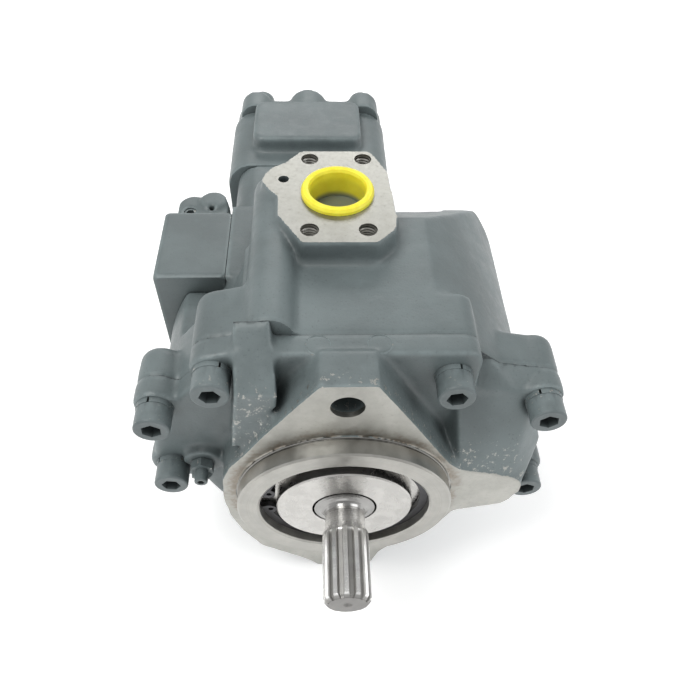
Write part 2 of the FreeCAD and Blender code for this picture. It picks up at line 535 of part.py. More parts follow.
for k, a in enumerate(PH):
    cx, cz = PITCH_R * math.cos(a), PITCH_R * math.sin(a)
    p = fuse([Part.makeSphere(BALL_R, V(cx, PIVOT_Y, cz)), cyl(3.6, PIVOT_Y + 2, PIVOT_Y + 7, cx, cz),
              cyl(PISTON_R, PIVOT_Y + 6.2, 95.0, cx, cz)])
    p = cut(p, [cyl(5.4, PIVOT_Y + 14, 96.0, cx, cz), cyl(0.8, PIVOT_Y - 7, PIVOT_Y + 15, cx, cz)])
    save("piston_%d" % (k + 1), p)
    s = fuse([cyl(10.0, PIVOT_Y - SLIP_H, PIVOT_Y - 4.8), cyl(7.2, PIVOT_Y - 5.2, PIVOT_Y + 2.0)])
    s = cut(s, [Part.makeSphere(BALL_R + 0.05, V(0, PIVOT_Y, 0)), cyl(0.8, PIVOT_Y - 10, PIVOT_Y),
                ring(7.5, 5.0, PIVOT_Y - SLIP_H - 1, PIVOT_Y - SLIP_H + 0.6)])
    s.rotate(V(0, 0, 0), V(0, 1, 0), 5.0 + 13.0 * k)
    s.translate(V(cx, 0, cz))
    save("slipper_%d" % (k + 1), s)

rp = cyl(44.0, PIVOT_Y - 4.5, PIVOT_Y - 1.0)
rp.rotate(V(0, 0, 0), V(0, 1, 0), 7.0)
for a in PH:
    hole = cyl(8.9, PIVOT_Y - 8, PIVOT_Y + 2)
    hole.rotate(V(0, 0, 0), V(0, 1, 0), 11.0)
    hole.translate(V(PITCH_R * math.cos(a), 0, PITCH_R * math.sin(a)))
    before = rp.Volume
    rp = cut(rp, [hole])
    if before - rp.Volume < 700:
        print("retainer hole missed at", math.degrees(a))
rp = cut(rp, [Part.makeSphere(20.2, V(0, PIVOT_Y, 0))])
save("retainer_plate", rp)
rb = Part.makeSphere(20.0, V(0, PIVOT_Y, 0)).common(cyl(30, PIVOT_Y - 6.5, PIVOT_Y + 8.0))
save("retainer_ball", cut(rb, [cyl(15.05, 40, 80)]))

# swash plate with its two runners and the control arm
sy = PIVOT_Y - SLIP_H - SWASH_GAP
sw = turn([(24.0, sy), (45.0, sy), (45.0, sy - 4), (40.0, sy - 10), (24.0, sy - 10)])
run = []
for s in (-1, 1):
    x0, x1 = sorted((s * 27.0, s * 42.0))
    run.append(cylx(CRADLE_R, x0, x1, PIVOT_Y, 0).common(box(x0 - 1, x1 + 1, 0, sy - 4, -40, 40)))
arm = prism_x([(41, 18), (sy, 18), (sy + 0.3, 46), (62, 65), (62, 76), (59, 79), (50, 79), (50, 61), (41, 42)], ARM_X - 6, ARM_X + 6)
nose = cylx(6.0, ARM_X - 6, ARM_X + 6, PIVOT_Y, ARM_Z)
swash = fuse([sw] + run + [arm, nose])
swash = cut(swash, [cyl(24.0, 20, 70)])
save("swash_plate", swash)
sh = []
for s in (-1, 1):
    x0, x1 = sorted((s * 27.2, s * 41.8))
    sh.append(cylx(CRADLE_R + 2.4, x0, x1, PIVOT_Y, 0).cut(cylx(CRADLE_R + 0.1, x0 - 1, x1 + 1, PIVOT_Y, 0)).common(box(x0 - 1, x1 + 1, 20, PIVOT_Y, -14.5, 14.5)))
save("cradle_bearings", Part.makeCompound(sh))
save("control_piston", cut(soften(cyl(7.5, PIVOT_Y + 6.3, 98.0, ARM_X, ARM_Z), 0.8, lambda e: e.BoundBox.YLength < 1e-4),
                           [cyl(4.4, 78.0, 99.0, ARM_X, ARM_Z), ring(9.0, 6.8, 92.6, 94.2, ARM_X, ARM_Z)]))
save("swash_spring", coil(6.4, 1.2, 20.2, 49.6, 6, ARM_X, ARM_Z))

vp = cut(ring(44.0, 20.0, BLOCK_Y1 + 0.2, CAVITY_END - 0.01), [kidney(35, 145, 100, 130), kidney(215, 325, 100, 130)])
save("valve_plate", vp)

# ------------------------------------------------------------ suction cap
cx, cy = PORT_C
def turn_z(profile, x, y):
    f = poly([V(r, 0, z) for r, z in profile])
    s = f.revolve(V(0, 0, 0), V(0, 0, 1), 360)
    s.translate(V(x, y, 0))
    return s


cap = turn_z([(0, 84.0), (14.7, 84.0), (14.9, 86.0), (14.9, PORT_Z + 0.1), (17.2, PORT_Z + 0.1), (17.2, PORT_Z + 1.6), (16.4, PORT_Z + 2.9),
              (15.0, PORT_Z + 3.4), (13.8, PORT_Z + 2.9), (13.2, PORT_Z + 1.6), (12.9, 86.0), (0, 86.0)], cx, cy + 1.2 - 1.2)
save("suction_port_cap", cap)

# ------------------------------------------------------ regulator
rx0, rx1 = REG_X
regb = box(rx0, rx1, REG_Y[0], REG_Y[1], REG_Z[0], REG_Z[1])
regb = soften(regb, 1.6, lambda e: e.BoundBox.XLength < 1 and abs(e.BoundBox.XMin - rx0) < 0.01 or (e.BoundBox.XLength > 20 and e.BoundBox.ZMin > 59))
SPX, SPZ = -75.0, 28.0
cuts = [cyl(8.05, 94.0, REG_Y[1] + 1, SPX, SPZ)]
for y in (98.5, 127.5):
    for z in (-40.0, 50.0):
        cuts.append(cylx(4.5, rx0 - 1, rx1 + 1, y, z))
        cuts.append(cylx(7.2, rx0 - 1, rx0 + 9.0, y, z))
save("regulator_housing", cut(regb, cuts))
rs = []
for y in (98.5, 127.5):
    for z in (-40.0, 50.0):
        h = cylx(6.5, rx0 + 0.6, rx0 + 8.9, y, z)
        sh_ = cylx(3.95, rx0 + 8, rx1 + 11.0, y, z)
        r = 6.0 / 2.0 / math.cos(math.pi / 6)
        hx = prism_x([(y + r * math.cos(math.radians(60 * k)), z + r * math.sin(math.radians(60 * k))) for k in range(6)], rx0 - 1, rx0 + 5.0)
        rs.append(cut(fuse([h, sh_]), [hx]))
save("regulator_screws", Part.makeCompound(rs))
sp = turn([(0, 104), (8.0, 104), (8.0, 110), (5.0, 110.5), (5.0, 116), (8.0, 116.5), (8.0, 122), (5.0, 122.5), (5.0, 126), (8.0, 126.5), (8.0, 134.0), (0, 134.0)], SPX, SPZ)
save("regulator_spool", sp)
save("regulator_spring", coil(6.2, 0.9, 94.3, 103.6, 3, SPX, SPZ))

# pilot valve block behind the box: two rounded towers
pvb = box(-89.5, -61.8, REG_Y[1] + 0.3, 160.0, 4.0, 46.0)
t1 = cylz(8.0, 4.0, 50.0, -82.0, 156.0)
t2 = cylz(7.5, 4.0, 52.0, -70.5, 158.0)
t3 = box(-90.0, -74.0, REG_Y[1] + 4.0, 158.0, 40.0, 50.0)
t4 = box(-76.0, -62.0, REG_Y[1] + 4.0, 158.0, 40.0, 50.0)
pv = fuse([pvb, t1, t2, t3, t4])
pv = cut(pv, [cylz(3.4, 44.0, 60.0, -83.0, 150.0), cylz(1.6, 40.0, 60.0, -71.0, 152.0)])
save("pilot_valve_block", pv)
plug = cut(cylz(3.3, 44.1, 49.0, -83.0, 150.0), [prism_z([(-83 + 2.2 * math.cos(math.radians(60 * k)), 150 + 2.2 * math.sin(math.radians(60 * k))) for k in range(6)], 46.5, 52)])
save("pilot_valve_plug", plug)

# ------------------------------------------------------ rear adapter, gear pump
def rr_prism(x0, x1, z0, z1, r, y0, y1):
    b = box(x0, x1, y0, y1, z0, z1)
    return soften(b, r, lambda e: e.BoundBox.YLength > (y1 - y0) - 0.01)


ad = rr_prism(-61.0, 32.0, -44.0, 44.5, 14.0, ADAPT_Y[0], ADAPT_Y[1] - 0.2)
cuts = [cyl(14.0, ADAPT_Y[0] - 1, 188.0), cyl(10.0, 180, ADAPT_Y[1] + 1)]
cuts += [cyl(5.5, ADAPT_Y[0] - 1, ADAPT_Y[1] + 1, x, z) for x, z in GP_SCREWS]
save("rear_adapter", cut(ad, cuts))
gb = rr_prism(-67.5, 33.8, -46.0, 45.0, 16.0, GBODY_Y[0], GBODY_Y[1])
gpad = box(-51.5, 16.2, 213.0, 256.6, 40.0, 55.0)
gpad = soften(gpad, 7.0, lambda e: e.BoundBox.ZLength > 14)
gpad = soften(gpad, 1.5, lambda e: e.BoundBox.ZMin > 54.9)
gport = cylx(15.0, 28.0, 36.0, 232.0, 0.0)
gb = fuse([gb, gpad, gport])
F8 = fuse([cyl(18.75, 206.0, GBODY_Y[1] + 1), cyl(18.75, 206.0, GBODY_Y[1] + 1, -GEAR_CD, 0), box(-GEAR_CD, 0, 206.0, GBODY_Y[1] + 1, -9, 9)])
cuts = [F8, cyl(10.3, GBODY_Y[0] - 1, 207.0), cylx(8.5, 17.0, 45.0, 232.0, 0.0), cylx(10.2, 20.0, 45.0, 232.0, 0.0)]
cuts += [cyl(5.5, GBODY_Y[0] - 1, GBODY_Y[1] + 1, x, z) for x, z in GP_SCREWS]
save("gear_pump_body", cut(gb, cuts))
gc_ = rr_prism(-66.0, 33.0, -45.0, 43.5, 16.0, GCOVER_Y[0] + 0.2, GCOVER_Y[1])
lob = [cyl(10.5, GCOVER_Y[0] + 0.2, GCOVER_Y[1], -52.0, 39.8), cyl(13.5, GCOVER_Y[0] + 0.2, GCOVER_Y[1], -17.5, 38.5), cyl(10.5, GCOVER_Y[0] + 0.2, GCOVER_Y[1], 19.5, 39.8)]
gc_ = fuse([gc_] + lob)
gc_ = soften(gc_, 2.0, lambda e: abs(e.BoundBox.YMin - GCOVER_Y[1]) < 1e-4)
cuts = [cyl(5.5, GCOVER_Y[0] - 1, GCOVER_Y[1] + 1, x, z) for x, z in GP_SCREWS]
save("gear_pump_cover", cut(gc_, cuts))
gps = [cap_screw(x, z, GCOVER_Y[1] + 0.02, 1, 138.0, turn_deg=10 + 17 * i) for i, (x, z) in enumerate(GP_SCREWS)]
save("gear_pump_screws", Part.makeCompound(gps))


def involute_gear(x, y0, y1, phase, m=GEAR_M, z=GEAR_Z, pa=25.0, add=1.6, ded=2.0, backlash=0.25):
    rp_ = m * z / 2.0
    rb_ = rp_ * math.cos(math.radians(pa))
    ra, rf = rp_ + add, rp_ - ded
    inv = lambda t: math.tan(t) - t
    half_p = math.pi / (2 * z) - backlash / 4.0 / rp_
    base_half = half_p + inv(math.radians(pa))
    prof_ = []
    for k in range(6):
        r = rb_ + (ra - rb_) * k / 5.0
        t = math.acos(min(1.0, rb_ / r))
        prof_.append((r, base_half - inv(t)))
    pts = []
    for i in range(z):
        c = phase + 2 * math.pi * i / z
        pts.append((rf, c - base_half - 0.01))
        for r, h in prof_:
            pts.append((r, c - h))
        for r, h in reversed(prof_):
            pts.append((r, c + h))
        pts.append((rf, c + base_half + 0.01))
    return prism_y([(x + r * math.cos(a), r * math.sin(a)) for r, a in pts], y0, y1)


g1_ = fuse([involute_gear(0.0, 219.2, 238.8, math.pi), cyl(9.97, 207.0, 257.5), cyl(8.0, 160.0, 208.0)])
save("drive_gear", g1_)
g2_ = fuse([involute_gear(-GEAR_CD, 219.2, 238.8, math.pi / GEAR_Z), cyl(9.97, 207.0, 257.5, -GEAR_CD, 0)])
save("driven_gear", g2_)
bs = []
for y0, y1 in ((206.2, 219.0), (239.0, 257.8)):
    b = fuse([cyl(18.7, y0, y1), cyl(18.7, y0, y1, -GEAR_CD, 0)])
    b = cut(b, [cyl(10.02, 200, 260), cyl(10.02, 200, 260, -GEAR_CD, 0)])
    bs.append(b)
save("gear_bushes", Part.makeCompound([s for b in bs for s in b.Solids]))
save("gear_coupling", ring(12.5, 8.03, 144.0, 174.0))
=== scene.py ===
import math
import bpy
import bmesh
import numpy as np
from mathutils import Vector, Matrix, noise


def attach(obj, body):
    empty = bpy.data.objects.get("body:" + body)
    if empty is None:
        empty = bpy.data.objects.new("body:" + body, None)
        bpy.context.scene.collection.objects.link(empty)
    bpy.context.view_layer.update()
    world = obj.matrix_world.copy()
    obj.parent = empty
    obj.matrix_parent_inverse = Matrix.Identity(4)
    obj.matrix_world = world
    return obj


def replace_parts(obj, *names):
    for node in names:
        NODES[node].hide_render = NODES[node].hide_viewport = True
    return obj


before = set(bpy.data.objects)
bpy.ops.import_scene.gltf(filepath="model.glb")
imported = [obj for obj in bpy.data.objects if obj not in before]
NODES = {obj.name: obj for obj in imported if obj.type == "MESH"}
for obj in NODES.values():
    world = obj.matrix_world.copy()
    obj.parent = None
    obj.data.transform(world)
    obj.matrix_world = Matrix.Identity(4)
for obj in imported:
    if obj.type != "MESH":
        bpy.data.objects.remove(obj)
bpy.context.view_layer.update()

MM = 0.001
SCENE = bpy.context.scene.collection

# ================================================================== camera
F_PX, DEP, YAW, ROLL = 683.43, math.radians(50.9), math.radians(4.02), math.radians(2.57)
CAM = Vector((-0.01109, -0.15499, 0.30099))
fw = Vector((math.sin(YAW) * math.cos(DEP), math.cos(YAW) * math.cos(DEP), -math.sin(DEP)))
r0 = Vector((math.cos(YAW), -math.sin(YAW), 0.0))
u0 = r0.cross(fw)
r_ = math.cos(ROLL) * r0 + math.sin(ROLL) * u0
u_ = -math.sin(ROLL) * r0 + math.cos(ROLL) * u0
cd = bpy.data.cameras.new("camera")
cd.sensor_width = 36.0
cd.lens = F_PX / 700.0 * 36.0
cd.clip_start = 0.01
cd.clip_end = 20
cam = bpy.data.objects.new("camera", cd)
SCENE.objects.link(cam)
M = Matrix((r_, u_, -fw)).transposed().to_4x4()
M.translation = CAM
cam.matrix_world = M
bpy.context.scene.camera = cam
bpy.context.scene.view_settings.view_transform = "Standard"


# ============================================================ node helpers
class Mat:
    """Small builder for node materials; coordinates are the piece's own, in mm."""

    def __init__(self, name):
        self.m = bpy.data.materials.new(name)
        self.m.use_nodes = True
        self.t = self.m.node_tree
        self.b = self.t.nodes["Principled BSDF"]
        self.tc = self.t.nodes.new("ShaderNodeTexCoord")
        sc = self.t.nodes.new("ShaderNodeVectorMath")
        sc.operation = "SCALE"
        sc.inputs["Scale"].default_value = 1000.0
        self.t.links.new(self.tc.outputs["Object"], sc.inputs[0])
        self.mm = sc.outputs[0]
        sp = self.t.nodes.new("ShaderNodeSeparateXYZ")
        self.t.links.new(self.mm, sp.inputs[0])
        self.x, self.y, self.z = sp.outputs
        self.geo = self.t.nodes.new("ShaderNodeNewGeometry")

    def link(self, a, b):
        if isinstance(a, (int, float)):
            b.default_value = a
        elif isinstance(a, (tuple, list)):
            b.default_value = tuple(a) + ((1.0,) if len(a) == 3 and len(b.default_value) == 4 else ())
        else:
            self.t.links.new(a, b)

    def noise(self, size, detail=3.0, rough=0.55, vec=None, distort=0.0, offset=None):
        n = self.t.nodes.new("ShaderNodeTexNoise")
        n.inputs["Scale"].default_value = 1.0 / size
        n.inputs["Detail"].default_value = detail
        n.inputs["Roughness"].default_value = rough
        n.inputs["Distortion"].default_value = distort
        v = vec or self.mm
        if offset is not None:
            a = self.t.nodes.new("ShaderNodeVectorMath")
            a.operation = "ADD"
            self.t.links.new(v, a.inputs[0])
            a.inputs[1].default_value = offset
            v = a.outputs[0]
        self.t.links.new(v, n.inputs["Vector"])
        return n.outputs[0]

    def voronoi(self, size, vec=None):
        n = self.t.nodes.new("ShaderNodeTexVoronoi")
        n.inputs["Scale"].default_value = 1.0 / size
        self.t.links.new(vec or self.mm, n.inputs["Vector"])
        return n.outputs["Distance"]

    def stretch(self, sx, sy, sz):
        n = self.t.nodes.new("ShaderNodeVectorMath")
        n.operation = "MULTIPLY"
        self.t.links.new(self.mm, n.inputs[0])
        n.inputs[1].default_value = (sx, sy, sz)
        return n.outputs[0]

    def math(self, op, a, b=0.0, c=0.0, clamp=False):
        n = self.t.nodes.new("ShaderNodeMath")
        n.operation = op
        n.use_clamp = clamp
        self.link(a, n.inputs[0])
        self.link(b, n.inputs[1])
        if len(n.inputs) > 2:
            self.link(c, n.inputs[2])
        return n.outputs[0]

    def ramp(self, v, lo, hi, a=0.0, b=1.0, smooth=True):
        n = self.t.nodes.new("ShaderNodeMapRange")
        n.interpolation_type = "SMOOTHSTEP" if smooth else "LINEAR"
        self.link(v, n.inputs["Value"])
        n.inputs["From Min"].default_value = lo
        n.inputs["From Max"].default_value = hi
        n.inputs["To Min"].default_value = a
        n.inputs["To Max"].default_value = b
        return n.outputs["Result"]

    def mix(self, f, a, b):
        n = self.t.nodes.new("ShaderNodeMix")
        n.data_type = "RGBA"
        self.link(f, n.inputs["Factor"])
        self.link(a, n.inputs[6])
        self.link(b, n.inputs[7])
        return n.outputs[2]

    def mixf(self, f, a, b):
        n = self.t.nodes.new("ShaderNodeMix")
        n.data_type = "FLOAT"
        self.link(f, n.inputs["Factor"])
        self.link(a, n.inputs[2])
        self.link(b, n.inputs[3])
        return n.outputs[0]

    def bump(self, h, dist_mm, strength=1.0, normal=None):
        n = self.t.nodes.new("ShaderNodeBump")
        n.inputs["Strength"].default_value = strength
        n.inputs["Distance"].default_value = dist_mm * MM
        self.link(h, n.inputs["Height"])
        if normal is not None:
            self.t.links.new(normal, n.inputs["Normal"])
        return n.outputs[0]

    def normal_axis(self):
        sp = self.t.nodes.new("ShaderNodeSeparateXYZ")
        self.t.links.new(self.tc.outputs["Normal"], sp.inputs[0])
        return sp.outputs

    def radius_y(self, x0=0.0, z0=0.0):
        dx = self.math("SUBTRACT", self.x, x0)
        dz = self.math("SUBTRACT", self.z, z0)
        return self.math("SQRT", self.math("ADD", self.math("MULTIPLY", dx, dx), self.math("MULTIPLY", dz, dz)))

    def out(self, color=None, rough=None, metal=None, normal=None, **sockets):
        if color is not None:
            self.link(color, self.b.inputs["Base Color"])
        if rough is not None:
            self.link(rough, self.b.inputs["Roughness"])
        if metal is not None:
            self.link(metal, self.b.inputs["Metallic"])
        if normal is not None:
            self.t.links.new(normal, self.b.inputs["Normal"])
        for k, v in sockets.items():
            self.b.inputs[k.replace("_", " ")].default_value = v
        return self.m


def machined_layer(m):
    """Colour, roughness and height of a bare milled or turned face."""
    blot = m.noise(14.0, 4.0, 0.6)
    fine = m.noise(1.3, 4.0, 0.65, offset=(5.0, 3.0, 9.0))
    col = m.mix(m.ramp(blot, 0.35, 0.7), (0.285, 0.283, 0.258), (0.40, 0.397, 0.368))
    col = m.mix(m.ramp(fine, 0.55, 0.85, 0.0, 0.5), col, (0.17, 0.163, 0.142))
    rough = m.math("ADD", m.ramp(blot, 0.3, 0.7, 0.32, 0.44), m.ramp(fine, 0.3, 0.8, 0.0, 0.10))
    return col, rough, fine, blot


def paint_layer(m, base=(0.122, 0.149, 0.152), cast=1.0, neck=False):
    big = m.noise(42.0, 3.0, 0.5)
    mid = m.noise(7.0, 4.0, 0.6, offset=(11.0, 0.0, 4.0))
    grain = m.noise(1.15, 3.0, 0.6, offset=(3.0, 8.0, 1.0))
    dark = tuple(c * 0.84 for c in base)
    light = tuple(c * 1.14 for c in base)
    col = m.mix(m.ramp(big, 0.3, 0.7), dark, light)
    col = m.mix(m.ramp(mid, 0.45, 0.8, 0.0, 0.35), col, tuple(c * 1.28 for c in base))
    col = m.mix(m.ramp(grain, 0.28, 0.42, 0.45, 0.0), col, tuple(c * 0.55 for c in base))
    # paler paint on the outer edges, partly rubbed wear and partly painted highlight; painted shade darkens the
    # concave corners
    pt = m.geo.outputs["Pointiness"]
    edge = m.math("MULTIPLY", m.ramp(pt, 0.508, 0.54), m.ramp(mid, 0.3, 0.62, 0.35, 1.0))
    edge = m.math("MULTIPLY", edge, m.ramp(m.math("ABSOLUTE", m.math("SUBTRACT", m.y, 28.2)), 0.8, 2.2))
    col = m.mix(m.math("MULTIPLY", edge, 0.42), col, tuple(min(1.0, c * 1.75) for c in base))
    # painted shade in the concave corners, by low pointiness
    corner_shade = m.ramp(pt, 0.492, 0.462)
    col = m.mix(m.math("MULTIPLY", corner_shade, 0.55), col, tuple(c * 0.45 for c in base))
    # painted shade in the deep pockets between the lobes, from ambient occlusion
    ao = m.t.nodes.new("ShaderNodeAmbientOcclusion")
    ao.samples = 6
    ao.inputs["Distance"].default_value = 0.035
    col = m.mix(m.ramp(ao.outputs["AO"], 0.25, 0.72, 0.62, 0.0), col, tuple(c * 0.32 for c in base))
    # small chips through to the metal on the sharpest corners
    seam = m.ramp(m.math("ABSOLUTE", m.math("SUBTRACT", m.y, 28.2)), 1.6, 2.6)
    chip = m.math("MULTIPLY", m.ramp(pt, 0.535, 0.57), m.ramp(m.noise(2.2, 2.0, 0.5, offset=(7.0, 7.0, 2.0)), 0.63, 0.67))
    chip = m.math("MULTIPLY", chip, seam)
    if neck:
        band = m.math("MULTIPLY", m.ramp(m.y, 0.2, 0.8), m.ramp(m.y, 4.0, 15.0, 1.0, 0.0))
        patch = m.ramp(m.math("ADD", m.noise(2.6, 5.0, 0.7, offset=(9.0, 1.0, 5.0)), m.math("MULTIPLY", band, 0.14)), 0.71, 0.76)
        chip = m.math("MAXIMUM", chip, m.math("MULTIPLY", patch, m.math("MULTIPLY", band, 0.9)))
    rough = m.math("ADD", m.ramp(mid, 0.3, 0.7, 0.36, 0.47), m.ramp(grain, 0.3, 0.7, 0.0, 0.07))
    height = m.math("ADD", m.math("MULTIPLY", grain, 0.55 * cast), m.math("MULTIPLY", m.noise(3.6, 3.0, 0.55), 0.9 * cast))
    return col, rough, height, chip, big


def paint_material(name, planes=(), base=(0.122, 0.149, 0.152), cast=1.0, spigot=False, bores=()):
    """Grey enamel over a casting.  planes: (axis, mm, sign, tolerance) of faces
    that were machined after painting; bores: (axis, a, b, r, lo, hi) likewise."""
    m = Mat(name)
    col, rough, height, chip, big = paint_layer(m, base, cast, neck=spigot)
    mcol, mrough, mfine, mblot = machined_layer(m)
    metal = chip
    mask = None
    nx, ny, nz = m.normal_axis()
    ax = {"x": (m.x, nx), "y": (m.y, ny), "z": (m.z, nz)}
    wob = m.ramp(m.noise(2.4, 3.0, 0.6, offset=(1.0, 2.0, 3.0)), 0.3, 0.7, -0.22, 0.22, smooth=False)
    for a, v, s, tol in planes:
        c, n = ax[a]
        d = m.math("ABSOLUTE", m.math("SUBTRACT", c, v))
        near = m.ramp(m.math("ADD", d, wob), tol, tol + 0.16, 1.0, 0.0)
        face = m.ramp(m.math("MULTIPLY", n, s), 0.72, 0.86)
        k = m.math("MULTIPLY", near, face)
        mask = k if mask is None else m.math("MAXIMUM", mask, k)
    for a, p, q, r, lo, hi in bores:
        u, v, w = {"x": (m.y, m.z, m.x), "y": (m.x, m.z, m.y), "z": (m.x, m.y, m.z)}[a]
        du = m.math("SUBTRACT", u, p)
        dv = m.math("SUBTRACT", v, q)
        rr = m.math("SQRT", m.math("ADD", m.math("MULTIPLY", du, du), m.math("MULTIPLY", dv, dv)))
        k = m.math("MULTIPLY", m.ramp(rr, r + 0.25, r + 0.4, 1.0, 0.0), m.math("MULTIPLY", m.math("GREATER_THAN", w, lo), m.math("LESS_THAN", w, hi)))
        mask = k if mask is None else m.math("MAXIMUM", mask, k)
    if mask is not None:
        if spigot:
            # brown film left round the root of the spigot and in patches
            r = m.radius_y()
            ringd = m.math("MULTIPLY", m.ramp(m.math("ADD", r, m.math("MULTIPLY", wob, 9.0)), 52.5, 58.5, 1.0, 0.0), m.ramp(m.noise(9.0, 4.0, 0.6, offset=(2.0, 2.0, 2.0)), 0.32, 0.62, 0.25, 1.0))
            mcol = m.mix(0.20, mcol, (0.66, 0.655, 0.62))
            mcol = m.mix(m.math("MULTIPLY", ringd, 0.62), mcol, (0.17, 0.125, 0.085))
            facing = m.t.nodes.new("ShaderNodeTexWave")
            facing.wave_type = "RINGS"
            facing.rings_direction = "Y"
            facing.inputs["Scale"].default_value = 0.55
            facing.inputs["Distortion"].default_value = 0.6
            m.t.links.new(m.mm, facing.inputs["Vector"])
            mfine = m.math("ADD", mfine, m.math("MULTIPLY", facing.outputs[1], 0.35))
        metal = m.math("MAXIMUM", chip, mask)
        keep = m.math("MAXIMUM", m.math("MULTIPLY", chip, 1.0), mask)
        col = m.mix(keep, col, mcol)
        rough = m.mixf(keep, rough, mrough)
        height = m.mixf(mask, height, m.math("MULTIPLY", mfine, 0.22))
    else:
        col = m.mix(chip, col, mcol)
        rough = m.mixf(chip, rough, mrough)
    nrm = m.bump(height, 0.16, 0.9)
    return m.out(col, rough, metal, nrm)


def steel_material(name, base, rough_lo, rough_hi, marks="ring_y", pitch=0.5, depth=0.02, stain=0.35, dark=None):
    """Bare steel with lathe or grinding marks."""
    m = Mat(name)
    blot = m.noise(9.0, 4.0, 0.6)
    if marks == "ring_y":      # fine rings round the shaft
        v = m.stretch(0.02, 1.0 / pitch, 0.02)
        line = m.noise(1.0, 4.0, 0.7, vec=v)
    elif marks == "face":      # concentric turning marks on a disc facing Y
        r = m.radius_y()
        cb = m.t.nodes.new("ShaderNodeCombineXYZ")
        m.link(m.math("DIVIDE", r, pitch), cb.inputs[0])
        line = m.noise(1.0, 3.0, 0.7, vec=cb.outputs[0])
    else:
        line = m.noise(pitch, 4.0, 0.7)
    light = tuple(min(1.0, c * 1.12) for c in base)
    dk = dark or tuple(c * 0.72 for c in base)
    col = m.mix(m.ramp(blot, 0.35, 0.7), tuple(c * 0.92 for c in base), light)
    col = m.mix(m.ramp(line, 0.45, 0.8, 0.0, stain), col, dk)
    pt = m.geo.outputs["Pointiness"]
    # painted shade in concave corners, by low pointiness
    col = m.mix(m.ramp(pt, 0.49, 0.44, 0.0, 0.7), col, tuple(c * 0.22 for c in base))
    rough = m.math("ADD", m.ramp(blot, 0.3, 0.7, rough_lo, rough_hi), m.ramp(line, 0.3, 0.8, 0.0, 0.08))
    nrm = m.bump(line, depth, 0.8)
    return m.out(col, rough, 1.0, nrm)


PAINT = (0.122, 0.149, 0.152)
MATS = {}
MATS["front"] = paint_material("front_casting_paint", [("y", 0.0, -1, 0.35)], spigot=True, bores=[("y", 0.0, 73.025, 7.15, -1, 2.5), ("y", 0.0, -73.025, 7.15, -1, 2.5)])
MATS["house"] = paint_material("main_casting_paint", [("z", 98.0, 1, 0.35), ("z", -89.0, -1, 0.35)],
                               bores=[("z", -2.0, 105.0, 15.0, 60, 99), ("z", 0.0, 125.0, 9.5, -95, -40)]
                               + [("z", -2.0 + sx * 13.1, 105.0 + sy * 26.2, 4.35, 70, 99) for sx in (-1, 1) for sy in (-1, 1)]
                               + [("z", sx * 23.8, 125.0 + sy * 11.1, 4.35, -95, -60) for sx in (-1, 1) for sy in (-1, 1)])
MATS["paint"] = paint_material("casting_paint", bores=[("x", 232.0, 0.0, 10.3, 15, 36.3)])
MATS["boxpaint"] = paint_material("machined_block_paint", cast=0.45)
MATS["screwpaint"] = paint_material("painted_screw", base=(0.104, 0.127, 0.130), cast=0.35)
m = Mat("splined_shaft_steel")
ln = m.noise(1.0, 4.0, 0.7, vec=m.stretch(0.02, 2.6, 0.02))
sp_zone = m.ramp(m.y, -21.0, -24.0)
rr = m.radius_y()
# painted shade in the spline grooves, darker below the tooth tips
gap = m.math("MULTIPLY", m.ramp(rr, 10.45, 9.75), sp_zone)
scol = m.mix(m.ramp(m.noise(8.0, 4.0), 0.35, 0.7), (0.80, 0.795, 0.785), (0.95, 0.945, 0.93))
scol = m.mix(m.ramp(ln, 0.45, 0.8, 0.0, 0.2), scol, (0.26, 0.25, 0.24))
scol = m.mix(m.math("MULTIPLY", gap, 0.68), scol, (0.09, 0.085, 0.075))
# painted shade: darker towards the shoulder, from y -20 to -10 mm
scol = m.mix(m.ramp(m.y, -20.0, -10.0, 0.0, 0.75), scol, (0.16, 0.157, 0.15))
scol = m.mix(m.ramp(m.y, -53.2, -53.9, 0.0, 0.55), scol, (0.20, 0.195, 0.19))
MATS["splined"] = m.out(scol, m.math("ADD", m.ramp(ln, 0.3, 0.8, 0.20, 0.30), m.math("MULTIPLY", gap, 0.25)), 1.0, m.bump(ln, 0.014, 0.8))
MATS["shaft"] = steel_material("ground_shaft_steel", (0.50, 0.49, 0.47), 0.22, 0.32, "ring_y", 0.35, 0.012)
MATS["turned"] = steel_material("turned_steel", (0.52, 0.51, 0.49), 0.20, 0.29, "face", 0.45, 0.02)
MATS["spigot"] = steel_material("turned_iron", (0.40, 0.395, 0.37), 0.27, 0.40, "face", 0.5, 0.03, 0.45, dark=(0.24, 0.20, 0.16))
MATS["bearing"] = steel_material("bearing_steel", (0.62, 0.62, 0.63), 0.10, 0.18, "noise", 0.8, 0.004, 0.15)
MATS["dark"] = steel_material("phosphated_steel", (0.075, 0.075, 0.08), 0.38, 0.5, "noise", 0.7, 0.015, 0.2)
MATS["spring"] = steel_material("spring_steel", (0.22, 0.22, 0.23), 0.3, 0.4, "noise", 0.7, 0.01, 0.2)
MATS["iron"] = steel_material("machined_iron", (0.30, 0.30, 0.30), 0.34, 0.46, "face", 0.6, 0.03, 0.3)
MATS["hard"] = steel_material("hardened_steel", (0.52, 0.52, 0.53), 0.14, 0.24, "ring_y", 0.3, 0.008, 0.2)
MATS["bronze"] = steel_material("bronze", (0.60, 0.40, 0.18), 0.24, 0.34, "noise", 0.9, 0.012, 0.3)

